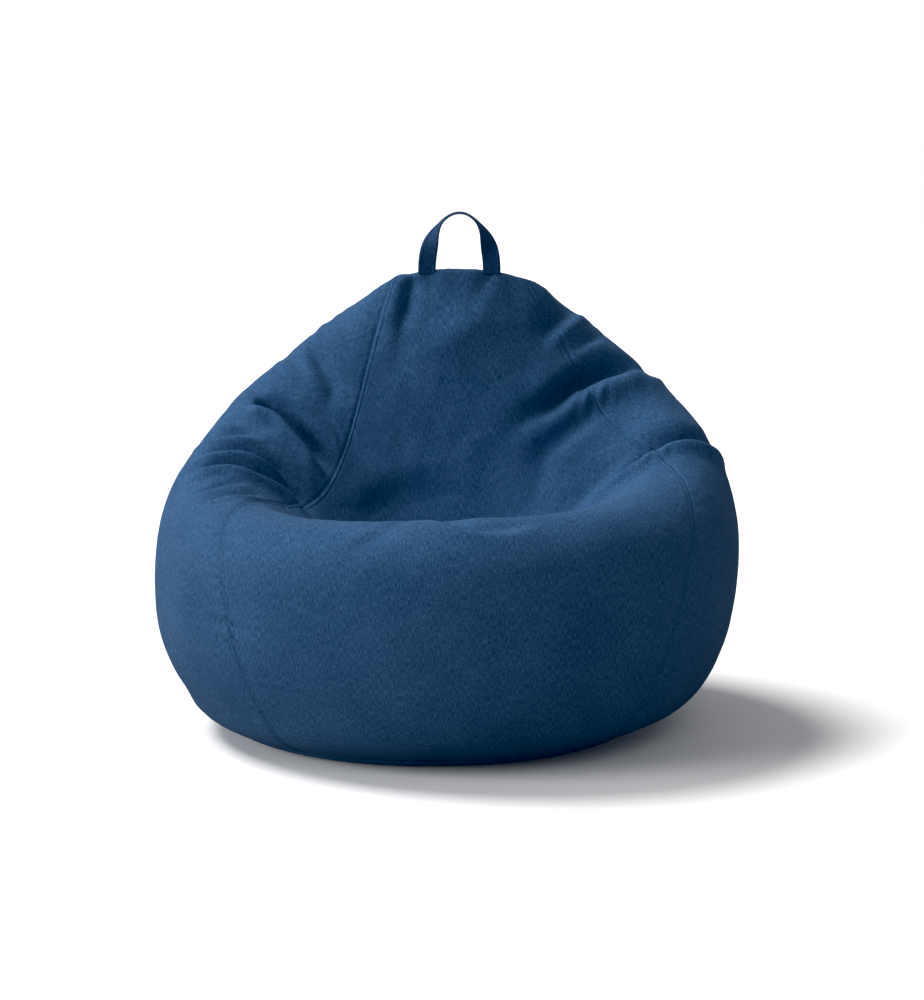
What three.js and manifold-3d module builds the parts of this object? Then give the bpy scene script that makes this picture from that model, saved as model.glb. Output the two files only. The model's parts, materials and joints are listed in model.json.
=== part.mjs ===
// Bean bag chair: a sewn teardrop cover with a carrying handle at the top and a zip up the back,
// round a zipped inner bag that holds loose foam beads. The front and top are pressed into a seat.
//
// Millimetres, +Z up, +Y towards the back of the chair, origin in the middle of the base on the floor.
//
// A point on the bag is named by its azimuth (0 at the front, positive towards +X, 180 at the back) and
// its level: -1 to 0 crosses the base panel from its middle to its rim, 0 to 1 climbs the side panels
// from the base seam to the top seam, and 1 to 2 crosses the top cap to its middle.
import * as THREE from "three";
import { mergeVertices } from "three/addons/utils/BufferGeometryUtils.js";
import Module from "manifold-3d";

const wasm = await Module();
wasm.setup();

// ---------------------------------------------------------------- driving dimensions

const width = 850;
const depth = 800;
const height = 671; // floor to the front of the top seam
const outline = [
  // radius as a share of the width, height as a share of the height, from base seam to top seam
  [0.34, 0.018],
  [0.433, 0.083],
  [0.484, 0.198],
  [0.5, 0.338],
  [0.491, 0.478],
  [0.451, 0.606],
  [0.377, 0.727],
  [0.27, 0.839],
  [0.193, 0.934],
  [0.147, 1.0],
];
const baseContactRadius = 250; // the flat part of the base panel
const settleLeft = 0.11; // how much further the base has spread on the left
const leanBack = 118; // how far the top sits behind the middle of the base
const leanSide = 24; // how far the top has settled to one side
const capDepthShare = 0.44; // front half of the top, against a round one
const capRearShare = 0.62; // rear half of the top
const capSquareness = 0.6; // under 1 straightens the front edge of the top
const capDrop = 18; // how far the ends of the top seam hang below its middle
const capRearDrop = 34; // how far the rear of the top seam is below its front
const capDome = 6;

const seat = {
  middleX: 4,
  middleY: -92,
  halfWidth: 430,
  frontReach: 334,
  rearReach: 225,
  depth: 335, // how far the fabric is pressed down, which leaves the seat itself above the floor
  backThrust: 33, // how far it is pressed back as well
  sideFall: 1.9, // higher makes the arms rise sooner
  frontRounding: 0.85, // 0 gives a straight front roll, 1 a half ellipse
};

const fabric = 1.5; // cover cloth with its backing
const linerFabric = 1;
const seamGap = 0.4;
const seamAllowance = 5; // cloth turned inwards along each seam
const linerDrop = 14; // from the cover's outside to the inner bag's outside
const linerFloorDrop = 3; // the same over the flat base
const beadGap = 1.3; // between the inner bag and the beads
const beadZipRoom = 6; // deeper still behind the inner zip

const seams = { frontLeft: -49.5, frontRight: 52.5, rearRight: 116, back: 180, rearLeft: -115 };
// How far the two front seams stray from those azimuths, at even steps from the base to the top.
const seamDrift = { left: [11, 9, 2.5, -3.5, -2, 0], right: [-11, -7.5, -1.5, 8, 11, 0], reach: 50 };

const strap = {
  width: 26,
  thickness: 3,
  spread: 48, // half the distance between the middles of the two ends
  rise: 83, // seam to the middle of the strap at the top of the loop
  tail: 7, // the length sewn into the seam
  tailDrop: 2.4, // from the seam to the top of each tail
  room: 3, // between the strap and the cloth on either side
  clearance: 2, // between the loop and its tails
  steps: 28,
};

const zip = {
  bottomLevel: 0.14,
  topLevel: 0.57,
  slotHalf: 6, // from the middle of the teeth to the turned edge of the cloth
  tapeWidth: 13,
  tapeThickness: 1,
  coilWidth: 2.4,
  coilHeight: 2,
  coilGap: 1.2, // left between the two rows for the slider's post
  tapeSink: 0.8, // tape below the inside of the cloth
  tapeOverrun: 8, // tape past the teeth at each end
  coilLift: 0.3, // teeth above the tape
  stopLength: 3,
  stopGap: 0.4, // between a stop and the teeth, and between the teeth and the slider
  patch: { halfWidth: 11, length: 20, thickness: 1, lift: 0.4, gap: 4.6 }, // over each end of the slot
  steps: 20,
};

const slider = {
  halfWidth: 4.3,
  length: 12,
  plate: 1.2,
  clearance: 0.5, // between the plates and what runs between them
  postHalf: 0.35,
  lip: 0.8,
  lugHeight: 3,
  lugHalf: 1.2,
  lugLength: 7,
  lugBar: 1,
  overlap: 0.1, // how far its joined parts run into each other
  postFrom: 0.5, // the post's two ends, as shares of the way from the middle to the upper end
  postTo: 0.9,
};

const pull = {
  length: 26,
  halfWidth: 3.2,
  thickness: 1.2,
  armLength: 5,
  armWidth: 1.3,
  armGap: 0.5,
  overlap: 0.1,
};

const careLabel = { azimuth: 150, footLevel: 0.015, width: 30, length: 48, thickness: 0.6, lift: 0.5 };

const columns = { frontMiddle: 4, frontSide: 2, side: 5, back: 4 };
const besideBack = 2.7; // degrees from the back seam to the extra column that keeps the zip flat
const rows = { belowZip: 2, zip: 12, aboveZip: 6, cap: 2 };
const slotEnd = 0.012; // the level over which the slot closes past each end of the zip

const colours = {
  cloth: 0x1d4067,
  strap: 0x18375c,
  tape: 0x1c2f4a,
  metal: 0x8f9499,
  liner: 0xdfe1e0,
  bead: 0xf2f2ee,
};

// ---------------------------------------------------------------- the bag's surface

const radians = THREE.MathUtils.degToRad;
const smooth = (from, to, x) => THREE.MathUtils.smoothstep(x, from, to);
const mix = THREE.MathUtils.lerp;
const rimRadius = outline[0][0] * width;
const rimLift = outline[0][1] * height;
const contactLevel = baseContactRadius / rimRadius - 1;
const depthShare = depth / width;
const spline = new THREE.SplineCurve(outline.map(([r, z]) => new THREE.Vector2(r * width, z * height)));

function seatPress(x, y, level) {
  const across = Math.min(Math.abs(x - seat.middleX) / seat.halfWidth, 1);
  const round = Math.sqrt(1 - seat.frontRounding * across * across);
  const reach = y < seat.middleY ? seat.frontReach * round : seat.rearReach;
  const along = (y - seat.middleY) / reach;
  const bell = (share) => Math.cos((Math.min(Math.abs(share), 1) * Math.PI) / 2);
  const fade = smooth(0.3, 0.5, level) * (1 - 0.9 * smooth(0.8, 1, level));
  return bell(across) ** seat.sideFall * bell(along) ** 2 * fade;
}

const driftCurve = (list) => new THREE.SplineCurve(list.map((drift, i) => new THREE.Vector2(i, drift)));
const drifts = [
  { seam: seams.frontLeft, curve: driftCurve(seamDrift.left) },
  { seam: seams.frontRight, curve: driftCurve(seamDrift.right) },
];

// Azimuths near a front seam move with it.
function strayed(azimuth, climb) {
  let moved = azimuth;
  for (const { seam, curve } of drifts) {
    const away = Math.abs((((azimuth - seam + 540) % 360) - 180) / seamDrift.reach);
    if (away < 1) moved += curve.getPoint(climb).y * (1 - away ** 2) ** 2;
  }
  return moved;
}

// The filled bag before anyone has sat in it.
function fullPoint(azimuth, level) {
  const climb = THREE.MathUtils.clamp(level, 0, 1);
  const a = radians(strayed(azimuth, climb));
  const sine = Math.sin(a);
  const cosine = Math.cos(a);
  const spread = level < 0 ? 1 + level : level > 1 ? 2 - level : 1;
  const round = spline.getPoint(climb);
  const top = smooth(0.6, 1, climb);
  const flat = 1 - (1 - (cosine > 0 ? capDepthShare : capRearShare)) * top;
  const square = Math.sign(cosine) * Math.abs(cosine) ** mix(1, capSquareness, smooth(0.8, 1, climb));
  const front = smooth(-0.97, -0.5, cosine); // the back seam stays upright
  const radius = round.x * spread * (1 + settleLeft * Math.max(0, -sine) * (1 - smooth(0, 0.15, climb)));
  const sag = capDrop * Math.abs(sine) ** 3 * spread ** 2 + (capRearDrop * (1 - cosine * spread)) / 2;
  let z = round.y - sag * smooth(0.75, 1, climb);
  if (level < 0) z = rimLift * Math.max(0, (level - contactLevel) / -contactLevel) ** 2;
  if (level > 1) z += capDome * (1 - spread ** 2);
  return new THREE.Vector3(
    leanSide * smooth(0.15, 0.85, climb) * mix(1, front, spread) + radius * sine,
    leanBack * smooth(0.42, 1, climb) - radius * depthShare * flat * square,
    z,
  );
}

// The zip lies on an arc in the plane x = 0, through three points of the back seam.
const backSeam = (level) => fullPoint(seams.back, level);
const zipArc = arcThrough(
  backSeam(zip.bottomLevel),
  backSeam((zip.bottomLevel + zip.topLevel) / 2),
  backSeam(zip.topLevel),
);

function arcThrough(p, q, r) {
  const middle = (a, b) => [(a.y + b.y) / 2, (a.z + b.z) / 2];
  const [my, mz] = middle(p, q);
  const [ny, nz] = middle(q, r);
  const across = (q.y - p.y) * (r.z - q.z) - (q.z - p.z) * (r.y - q.y);
  const t = ((ny - my) * (r.y - q.y) + (nz - mz) * (r.z - q.z)) / across;
  const centre = { y: my - t * (q.z - p.z), z: mz + t * (q.y - p.y) };
  const angleOf = (point) => Math.atan2(point.z - centre.z, point.y - centre.y);
  return { ...centre, radius: Math.hypot(q.y - centre.y, q.z - centre.z), from: angleOf(p), to: angleOf(r) };
}

function bagPoint(azimuth, level) {
  const p = fullPoint(azimuth, level);
  const turn = Math.abs(((azimuth + 540) % 360) - 180); // 180 at the back
  const nearZip = smooth(140, 172, turn) * smooth(0, 0.08, level) * (1 - smooth(0.62, 0.76, level));
  if (nearZip > 0) {
    const seam = backSeam(level);
    const rise = THREE.MathUtils.clamp(seam.z - zipArc.z, -zipArc.radius, zipArc.radius);
    p.y += nearZip * (zipArc.y + Math.sqrt(zipArc.radius ** 2 - rise ** 2) - seam.y);
  }
  const press = seatPress(p.x, p.y, level);
  p.z -= seat.depth * press;
  p.y += seat.backThrust * press;
  return p;
}

function bagNormal(azimuth, level) {
  const step = 0.004;
  const pole = level < step - 1 ? step - 1 : level > 2 - step ? 2 - step : null;
  if (pole !== null) {
    const sum = new THREE.Vector3();
    for (let a = 0; a < 360; a += 45) sum.add(bagNormal(a, pole));
    return sum.normalize();
  }
  const here = bagPoint(azimuth, level);
  const around = bagPoint(azimuth + 0.5, level).sub(bagPoint(azimuth - 0.5, level));
  const above = bagPoint(azimuth, level + step).sub(here).normalize();
  const below = here.sub(bagPoint(azimuth, level - step)).normalize();
  const up = above.add(below); // halfway between the two cloths at a seam
  return around.cross(up).normalize();
}

// ---------------------------------------------------------------- sheets of cloth

// A closed solid from triangles, with coincident corners merged and collapsed triangles dropped.
function solidFrom(points, triangles) {
  const geometry = new THREE.BufferGeometry();
  geometry.setAttribute("position", new THREE.Float32BufferAttribute(points.flatMap((p) => p.toArray()), 3));
  geometry.setIndex(triangles.flat());
  const merged = mergeVertices(geometry, 1e-3);
  const kept = [];
  for (let i = 0; i < merged.index.count; i += 3) {
    const [a, b, c] = merged.index.array.slice(i, i + 3);
    if (a !== b && b !== c && c !== a) kept.push(a, b, c);
  }
  merged.setIndex(kept);
  return merged;
}

const none = () => 0;

// A sheet over azimuths x levels, thick inwards from `drop` below the bag's surface. Its open edges
// are pulled in by `inset(azimuth, level)` and turned inwards by `flange(azimuth, level)`. A sheet that
// ends at the azimuth it started from is sewn to itself wherever that inset is nothing.
function sheet({ azimuths, levels, thickness, drop = none, inset = none, flange = none, wrap = false }) {
  const points = [];
  const triangles = [];
  const add = (p) => points.push(p) - 1;
  const lastRow = levels.length - 1;
  const lastColumn = azimuths.length - 1;
  const meets = !wrap && azimuths[0] === azimuths[lastColumn];
  const isPole = (row) => levels[row] === -1 || levels[row] === 2;
  const gridRow = (level, row) => azimuths.map((azimuth, column) => corner(azimuth, level, row, column));
  const grid = levels.map(gridRow);

  function corner(azimuth, level, row, column) {
    const normal = bagNormal(azimuth, level);
    const place = bagPoint(azimuth, level).addScaledVector(normal, -drop(level));
    const inwards = new THREE.Vector3();
    const along = (da, dl) => bagPoint(azimuth + da, level + dl).sub(bagPoint(azimuth, level)).normalize();
    if (!wrap && column === 0 && !isPole(row)) inwards.add(along(1, 0));
    if (!wrap && column === lastColumn && !isPole(row)) inwards.add(along(-1, 0));
    if (row === 0 && !isPole(row)) inwards.add(along(0, 0.01));
    if (row === lastRow && !isPole(row)) inwards.add(along(0, -0.01));
    const onEdge = inwards.lengthSq() > 0;
    if (onEdge) {
      inwards.divideScalar(Math.sqrt(1 - inwards.dot(normal) ** 2 / inwards.lengthSq()));
      place.addScaledVector(inwards, inset(azimuth, level));
      inwards.addScaledVector(normal, -inwards.dot(normal));
    }
    const outer = add(place);
    const inner = place.clone().addScaledVector(normal, -thickness);
    const sewn = meets && (isPole(row) || (onEdge && inset(azimuth, level) === 0));
    if (!onEdge || sewn) return { outer, inner: add(inner), sewn };
    const turned = inner.clone().addScaledVector(normal, -flange(azimuth, level));
    const wall = inwards.clone().multiplyScalar(thickness);
    return { outer, inner: add(inner.add(wall)), rim: add(turned.clone()), lip: add(turned.add(wall)) };
  }

  // Layers and seams that face each other split their quads the same way, so their gap stays even.
  const quad = (a, b, c, d) => triangles.push([a, b, c], [a, c, d]);
  const quadFlipped = (a, b, c, d) => triangles.push([a, b, d], [b, c, d]);
  for (let row = 0; row < lastRow; row += 1) {
    for (let column = 0; column < (wrap ? azimuths.length : lastColumn); column += 1) {
      const next = (column + 1) % azimuths.length;
      const [p, q, r, s] = [grid[row][column], grid[row][next], grid[row + 1][next], grid[row + 1][column]];
      quad(p.outer, q.outer, r.outer, s.outer);
      quadFlipped(s.inner, r.inner, q.inner, p.inner);
    }
  }

  const end = (at) => (at.rim === undefined ? { ...at, rim: at.inner, lip: at.inner } : at);
  const wallBetween = (p, q, split) => {
    if (p.sewn && q.sewn) return;
    const [a, b] = [end(p), end(q)];
    split(b.outer, a.outer, a.rim, b.rim);
    split(b.rim, a.rim, a.lip, b.lip);
    split(b.lip, a.lip, a.inner, b.inner);
  };
  const around = wrap ? azimuths.length : lastColumn;
  for (let column = 0; column < around; column += 1) {
    const next = (column + 1) % azimuths.length;
    if (!isPole(0)) wallBetween(grid[0][column], grid[0][next], quad);
    if (!isPole(lastRow)) wallBetween(grid[lastRow][next], grid[lastRow][column], quadFlipped);
  }
  for (let row = 0; row < lastRow && !wrap; row += 1) {
    wallBetween(grid[row + 1][0], grid[row][0], quadFlipped);
    wallBetween(grid[row][lastColumn], grid[row + 1][lastColumn], quad);
  }
  return solidFrom(points, triangles);
}

const steps = (from, to, count) => Array.from({ length: count + 1 }, (_, i) => mix(from, to, i / count));

// The strap's two ends, in the seam between the front panel and the top cap.
const topRadius = outline.at(-1)[0] * width;
const topAzimuth = (x) => THREE.MathUtils.radToDeg(Math.asin(x / topRadius));
const strapAzimuth = topAzimuth(strap.spread);
const strapEdgeAzimuth = topAzimuth(strap.spread + strap.width / 2 + strap.room);
const strapEnds = { left: bagPoint(-strapAzimuth, 1), right: bagPoint(strapAzimuth, 1) };
const strapFoot = strapEnds.left.clone().add(strapEnds.right).multiplyScalar(0.5);

const panelAzimuths = {
  front: [
    ...steps(seams.frontLeft, -strapEdgeAzimuth, columns.frontSide),
    ...steps(-strapAzimuth, strapAzimuth, columns.frontMiddle),
    ...steps(strapEdgeAzimuth, seams.frontRight, columns.frontSide),
  ],
  right: steps(seams.frontRight, seams.rearRight, columns.side),
  backRight: [...steps(seams.rearRight, seams.back - besideBack, columns.back), seams.back],
  backLeft: [seams.back, ...steps(seams.back + besideBack, seams.rearLeft + 360, columns.back)],
  left: steps(seams.rearLeft, seams.frontLeft, columns.side),
};
const allAzimuths = Object.values(panelAzimuths).flatMap((list) => list.slice(0, -1));
const sideLevels = [
  ...steps(0, zip.bottomLevel - slotEnd, rows.belowZip),
  ...steps(zip.bottomLevel, zip.topLevel, rows.zip),
  ...steps(zip.topLevel + slotEnd, 1, rows.aboveZip),
];
const capLevels = steps(1, 2, rows.cap);
const baseLevels = [-1, -0.55, contactLevel, 0];
const allLevels = [...baseLevels, ...sideLevels.slice(1), ...capLevels.slice(1)];

// ---------------------------------------------------------------- the cover

const atBack = (azimuth) => Math.abs(azimuth) === seams.back;
const besideZip = (level) => level > zip.bottomLevel - 0.08 && level < zip.topLevel + 0.05;

function coverInset(azimuth, level) {
  const underStrap = Math.abs(azimuth) < strapEdgeAzimuth + 1;
  if (level === 1 && underStrap) return strap.thickness / 2 + strap.room;
  const inSlot = atBack(azimuth) && level >= zip.bottomLevel && level <= zip.topLevel;
  return inSlot ? zip.slotHalf : seamGap / 2;
}
const coverFlange = (azimuth, level) => (atBack(azimuth) && besideZip(level) ? 0 : seamAllowance);
const coverSheet = (azimuths, levels, wrap = false) =>
  sheet({ azimuths, levels, thickness: fabric, inset: coverInset, flange: coverFlange, wrap });

// ---------------------------------------------------------------- the inner bag and its beads

const layerDrop = (level) => mix(linerFloorDrop, linerDrop, smooth(-0.35, -0.1, level));

// The inner bag starts and ends at the back seam and is open there only along its zip.
function linerSheet() {
  const back = allAzimuths.indexOf(seams.back);
  const azimuths = [...allAzimuths.slice(back), ...allAzimuths.slice(0, back), seams.back];
  const inset = (azimuth, level) => (level >= zip.bottomLevel && level <= zip.topLevel ? zip.slotHalf : 0);
  return sheet({ azimuths, levels: allLevels, thickness: linerFabric, drop: layerDrop, inset });
}

function beadSolid() {
  const points = [];
  const triangles = [];
  const drop = (azimuth, level) => {
    const behindZip = Math.abs(azimuth - seams.back) <= besideBack && level > 0 && level < zip.topLevel + 0.1;
    return layerDrop(level) + linerFabric + beadGap + (behindZip ? beadZipRoom : 0);
  };
  for (const level of allLevels) {
    for (const azimuth of allAzimuths) {
      const inwards = bagNormal(azimuth, level).multiplyScalar(-drop(azimuth, level));
      points.push(bagPoint(azimuth, level).add(inwards));
    }
  }
  const n = allAzimuths.length;
  for (let row = 0; row < allLevels.length - 1; row += 1) {
    for (let column = 0; column < n; column += 1) {
      const next = (column + 1) % n;
      const [a, b, c, d] = [row * n + column, row * n + next, (row + 1) * n + next, (row + 1) * n + column];
      triangles.push([a, b, c], [a, c, d]);
    }
  }
  return solidFrom(points, triangles);
}

// ---------------------------------------------------------------- zips

// A closed bar from rings of four corners.
function tubeOfQuads(points, count) {
  const triangles = [];
  for (let i = 0; i < count; i += 1) {
    for (let k = 0; k < 4; k += 1) {
      const [a, b] = [i * 4 + k, i * 4 + ((k + 1) % 4)];
      triangles.push([a, b, b + 4], [a, b + 4, a + 4]);
    }
  }
  const end = count * 4;
  triangles.push([2, 1, 0], [3, 2, 0], [end, end + 1, end + 2], [end, end + 2, end + 3]);
  return solidFrom(points, triangles);
}

// A bar along the zip's arc, between two x, two heights above the cloth and two angles.
function arcBar(x, rise, angles, radius, count = zip.steps) {
  const points = [];
  const section = [[x[0], rise[0]], [x[1], rise[0]], [x[1], rise[1]], [x[0], rise[1]]];
  for (const angle of steps(angles[0], angles[1], count)) {
    for (const [across, out] of section) {
      const r = radius + out;
      points.push(new THREE.Vector3(across, zipArc.y + r * Math.cos(angle), zipArc.z + r * Math.sin(angle)));
    }
  }
  return tubeOfQuads(points, count);
}

function manifoldOf(geometry) {
  return new wasm.Manifold(new wasm.Mesh({
    numProp: 3,
    vertProperties: geometry.attributes.position.array,
    triVerts: new Uint32Array(geometry.index.array),
  }));
}

function geometryOf(manifold) {
  const mesh = manifold.getMesh();
  const geometry = new THREE.BufferGeometry();
  geometry.setAttribute("position", new THREE.BufferAttribute(new Float32Array(mesh.vertProperties), 3));
  return geometry.setIndex(new THREE.BufferAttribute(new Uint32Array(mesh.triVerts), 1));
}

function joined(first, ...others) {
  return geometryOf(others.reduce((sum, g) => sum.add(manifoldOf(g)), manifoldOf(first)));
}

// Everything on one zip whose cloth lies at `radius` from the arc's centre.
function zipPieces(prefix, radius, clothThickness, withPull) {
  const along = (length) => length / radius;
  const tapeTop = -clothThickness - zip.tapeSink;
  const coilFoot = tapeTop + zip.coilLift;
  const coilRise = [coilFoot, coilFoot + zip.coilHeight];
  const [low, high] = [zipArc.from, zipArc.to];
  const stop = along(zip.stopLength);
  const gap = along(zip.stopGap);
  const run = [low + stop + 2 * gap, high - stop - 2 * gap];
  const pieces = {};
  for (const [side, sign] of [["left", -1], ["right", 1]]) {
    const span = (from, to) => [sign * from, sign * to].sort((a, b) => a - b);
    const inner = zip.coilGap / 2;
    const overrun = along(zip.tapeOverrun);
    pieces[`${prefix}_tape_${side}`] = arcBar(span(inner + 1, inner + 1 + zip.tapeWidth),
      [tapeTop - zip.tapeThickness, tapeTop], [low - overrun, high + overrun], radius);
    pieces[`${prefix}_teeth_${side}`] = arcBar(span(inner, inner + zip.coilWidth), coilRise, run, radius);
    pieces[`${prefix}_top_stop_${side}`] = arcBar(span(inner, inner + zip.coilWidth), coilRise,
      [high - stop, high], radius, 1);
  }
  const outside = zip.coilGap / 2 + zip.coilWidth;
  pieces[`${prefix}_bottom_stop`] = arcBar([-outside, outside], coilRise, [low, low + stop], radius, 1);
  pieces[`${prefix}_slider`] = sliderBody(radius, coilRise[1], run[1], tapeTop, withPull);
  if (withPull) {
    const foot = coilRise[1] + slider.clearance + slider.plate;
    pieces[`${prefix}_pull`] = pullPlate(radius, foot, sliderAngle(radius, run[1]));
  }
  return pieces;
}

// Where the middle of the slider stands when the zip is shut: just below the top stops.
const sliderAngle = (radius, top) => top - slider.length / 2 / radius;

function sliderBody(radius, coilTop, top, tapeTop, withLug) {
  const half = slider.length / 2 / radius;
  const middle = sliderAngle(radius, top);
  const whole = [middle - half, middle + half];
  const under = tapeTop - zip.tapeThickness - slider.clearance;
  const over = coilTop + slider.clearance;
  const w = slider.halfWidth;
  const bar = (x, rise, angles) => arcBar(x, rise, angles, radius, 1);
  const lip = [tapeTop + slider.clearance, over + slider.overlap];
  const post = [middle + half * slider.postFrom, middle + half * slider.postTo];
  const parts = [
    bar([-w, w], [over, over + slider.plate], whole),
    bar([-w, w], [under - slider.plate, under], whole),
    bar([-slider.postHalf, slider.postHalf], [under - slider.overlap, over + slider.overlap], post),
    bar([-w, -w + slider.lip], lip, whole),
    bar([w - slider.lip, w], lip, whole),
  ];
  if (withLug) parts.push(...lugBars(radius, over + slider.plate, middle));
  return joined(...parts);
}

function lugBars(radius, foot, middle) {
  const half = slider.lugLength / 2 / radius;
  const bar = slider.lugBar / radius;
  const top = foot + slider.lugHeight;
  const x = [-slider.lugHalf, slider.lugHalf];
  return [
    arcBar(x, [foot - slider.overlap, top], [middle - half, middle - half + bar], radius, 1),
    arcBar(x, [foot - slider.overlap, top], [middle + half - bar, middle + half], radius, 1),
    arcBar(x, [top - slider.lugBar, top], [middle - half, middle + half], radius, 1),
  ];
}

// The pull's pin passes through the arched lug; it hangs down the zip from there.
function pullPlate(radius, foot, middle) {
  const pinHalf = pull.thickness / 2;
  const pinRise = foot + (slider.lugHeight - slider.lugBar) / 2;
  const pin = radius + pinRise;
  const armFrom = slider.lugHalf + pull.armGap;
  const armTo = armFrom + pull.armWidth;
  const box = (x, length) => {
    const bar = new THREE.BoxGeometry(x[1] - x[0], pull.thickness, length[1] - length[0]);
    bar.translate((x[0] + x[1]) / 2, 0, -(length[0] + length[1]) / 2);
    return bar;
  };
  const parts = [
    box([-armTo, armTo], [-pinHalf, pinHalf]),
    box([-armTo, -armFrom], [-pinHalf, pull.armLength + pull.overlap]),
    box([armFrom, armTo], [-pinHalf, pull.armLength + pull.overlap]),
    box([-pull.halfWidth, pull.halfWidth], [pull.armLength, pull.length]),
  ].map((part) => mergeVertices(part.deleteAttribute("normal").deleteAttribute("uv"), 1e-4));
  const plate = joined(...parts);
  plate.rotateX(middle);
  return plate.translate(0, zipArc.y + pin * Math.cos(middle), zipArc.z + pin * Math.sin(middle));
}

// ---------------------------------------------------------------- the handle

// A half ellipse whose section turns a quarter from each end, where it lies flat in the seam, to the
// top, where it lies flat in the hand.
function strapLoop() {
  const points = [];
  const halfSpread = (strapEnds.right.x - strapEnds.left.x) / 2;
  for (const angle of steps(0, Math.PI, strap.steps)) {
    const [cosine, sine] = [Math.cos(angle), Math.sin(angle)];
    const twist = (Math.PI / 2) * smooth(0.15, 0.95, sine);
    const rise = strap.clearance + strap.rise * sine;
    const middle = new THREE.Vector3(halfSpread * cosine, 0, rise).add(strapFoot);
    const tangent = new THREE.Vector3(-halfSpread * sine, 0, strap.rise * cosine).normalize();
    const outwards = new THREE.Vector3(tangent.z, 0, -tangent.x);
    const flat = outwards.clone().multiplyScalar(Math.cos(twist));
    flat.y += Math.sin(twist);
    const thick = new THREE.Vector3().crossVectors(tangent, flat);
    for (const [w, t] of [[-1, -1], [1, -1], [1, 1], [-1, 1]]) {
      const place = middle.clone().addScaledVector(flat, (w * strap.width) / 2);
      points.push(place.addScaledVector(thick, (t * strap.thickness) / 2));
    }
  }
  return tubeOfQuads(points, strap.steps);
}

function strapTail(end, azimuth) {
  const tail = new THREE.BoxGeometry(strap.width, strap.thickness, strap.tail);
  const normal = bagNormal(azimuth, 1);
  const along = bagPoint(azimuth + 1, 1).sub(bagPoint(azimuth - 1, 1));
  along.addScaledVector(normal, -along.dot(normal)).normalize();
  const across = new THREE.Vector3().crossVectors(normal, along);
  tail.applyMatrix4(new THREE.Matrix4().makeBasis(along, across, normal));
  const middle = end.clone().addScaledVector(normal, -strap.tail / 2 - strap.tailDrop);
  tail.translate(middle.x, middle.y, middle.z);
  return mergeVertices(tail.deleteAttribute("normal").deleteAttribute("uv"), 1e-4);
}

// ---------------------------------------------------------------- assembly

const chair = new THREE.Group();

function add(name, geometry, colour, roughness = 0.9, metalness = 0) {
  const material = new THREE.MeshStandardMaterial({ color: colour, roughness, metalness });
  const mesh = new THREE.Mesh(geometry, material);
  mesh.name = name;
  chair.add(mesh);
}

function addZip(prefix, radius, thickness, withPull) {
  const pieces = zipPieces(prefix, radius, thickness, withPull);
  for (const [name, geometry] of Object.entries(pieces)) {
    if (name.includes("tape")) add(name, geometry, colours.tape);
    else if (name.includes("teeth")) add(name, geometry, colours.tape, 0.5);
    else add(name, geometry, colours.metal, 0.35, 0.8);
  }
}

function zipPatch(slotEndAngle, direction) {
  const { halfWidth, lift, thickness, gap, length } = zip.patch;
  const near = slotEndAngle + (direction * gap) / zipArc.radius;
  const far = near + (direction * length) / zipArc.radius;
  const angles = [Math.min(near, far), Math.max(near, far)];
  return arcBar([-halfWidth, halfWidth], [lift, lift + thickness], angles, zipArc.radius, 3);
}

function careTag() {
  const around = THREE.MathUtils.radToDeg(careLabel.width / (outline[1][0] * width));
  const azimuths = [careLabel.azimuth, careLabel.azimuth + around / 2, careLabel.azimuth + around];
  const { azimuth, footLevel, length, thickness, lift } = careLabel;
  const sample = 0.1; // a level low enough to measure the panel's slope by
  const levelPerLength = sample / bagPoint(azimuth, sample).distanceTo(bagPoint(azimuth, 0));
  const levels = steps(footLevel, footLevel + length * levelPerLength, 4);
  return sheet({ azimuths, levels, thickness, drop: () => -lift - thickness });
}

add("front_panel", coverSheet(panelAzimuths.front, sideLevels), colours.cloth);
add("right_side_panel", coverSheet(panelAzimuths.right, sideLevels), colours.cloth);
add("left_side_panel", coverSheet(panelAzimuths.left, sideLevels), colours.cloth);
add("back_right_panel", coverSheet(panelAzimuths.backRight, sideLevels), colours.cloth);
add("back_left_panel", coverSheet(panelAzimuths.backLeft, sideLevels), colours.cloth);
add("top_cap", coverSheet(allAzimuths, capLevels, true), colours.cloth);
add("base_panel", coverSheet(allAzimuths, baseLevels, true), colours.cloth);
add("handle_loop", strapLoop(), colours.strap);
add("handle_tail_left", strapTail(strapEnds.left, -strapAzimuth), colours.strap);
add("handle_tail_right", strapTail(strapEnds.right, strapAzimuth), colours.strap);
addZip("zip", zipArc.radius, fabric, true);
add("zip_top_patch", zipPatch(zipArc.to, 1), colours.cloth);
add("zip_bottom_patch", zipPatch(zipArc.from, -1), colours.cloth);
add("care_label", careTag(), colours.liner);
add("inner_bag", linerSheet(), colours.liner);
addZip("inner_zip", zipArc.radius - linerDrop, linerFabric, false);
add("bead_fill", beadSolid(), colours.bead);

export default chair;
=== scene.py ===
# A blue bean bag chair, standing empty after someone has sat in it, on a pale studio floor.
import json
import math

import bmesh
import bpy
import numpy as np
from mathutils import Matrix, Vector, noise


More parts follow.
